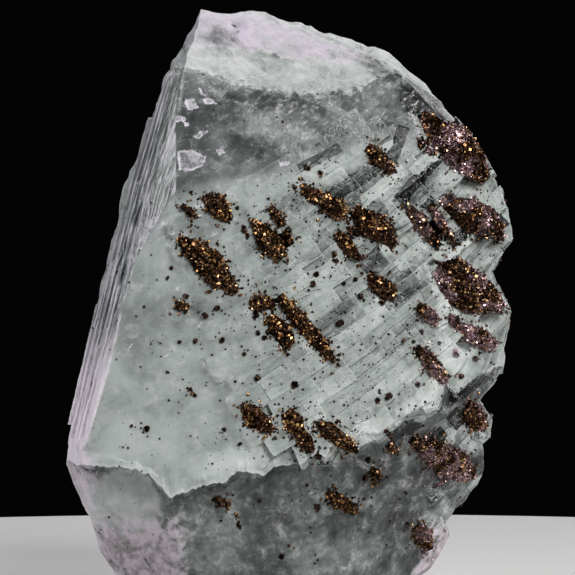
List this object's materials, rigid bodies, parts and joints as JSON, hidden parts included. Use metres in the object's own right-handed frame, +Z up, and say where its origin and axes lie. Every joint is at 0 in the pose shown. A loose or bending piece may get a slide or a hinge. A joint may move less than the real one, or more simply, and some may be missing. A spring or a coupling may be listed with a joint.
{
  "type": "fluorite with pyrite mineral specimen",
  "caption": "Free-standing broken block of translucent pale green fluorite, its stepped front crusted with streaks of small bronze pyrite crystals, cut flat at the foot.",
  "frame": {"origin": "centre of the base of the bounding box, on the surface the specimen stands on", "axes": "+Z up along the specimen's height, the stepped front with the pyrite faces -Y, +X to the right as seen from the front"},
  "size_m": [0.0676, 0.0436, 0.0884],
  "materials": {
    "fluorite": "pale grey-green translucent crystal, glassy where smooth and frosted white where broken",
    "pyrite": "fine druse of bronze-brown tarnished crystals with bright golden faces"
  },
  "bodies": {
    "root": {"fluorite": "fluorite", "pyrite_crust_01": "pyrite", "pyrite_crust_02": "pyrite", "pyrite_crust_03": "pyrite", "pyrite_crust_04": "pyrite", "pyrite_crust_05": "pyrite", "pyrite_crust_06": "pyrite", "pyrite_crust_07": "pyrite", "pyrite_crust_08": "pyrite", "pyrite_crust_09": "pyrite", "pyrite_crust_10": "pyrite", "pyrite_crust_11": "pyrite", "pyrite_crust_12": "pyrite", "pyrite_crust_13": "pyrite", "pyrite_crust_14": "pyrite", "pyrite_crust_15": "pyrite", "pyrite_crust_16": "pyrite", "pyrite_crust_17": "pyrite", "pyrite_crust_18": "pyrite", "pyrite_crust_19": "pyrite", "pyrite_crust_20": "pyrite", "pyrite_crust_21": "pyrite", "pyrite_crust_22": "pyrite", "pyrite_crust_23": "pyrite", "pyrite_crust_24": "pyrite", "pyrite_crust_25": "pyrite", "pyrite_crust_26": "pyrite", "pyrite_crust_27": "pyrite", "pyrite_crust_28": "pyrite", "pyrite_crust_29": "pyrite", "pyrite_crust_30": "pyrite", "pyrite_crust_31": "pyrite", "pyrite_crust_32": "pyrite", "pyrite_crust_33": "pyrite", "pyrite_crust_34": "pyrite", "pyrite_crust_35": "pyrite", "pyrite_crust_36": "pyrite", "pyrite_crust_37": "pyrite", "pyrite_crust_38": "pyrite", "pyrite_crust_39": "pyrite"}
  },
  "joints": []
}
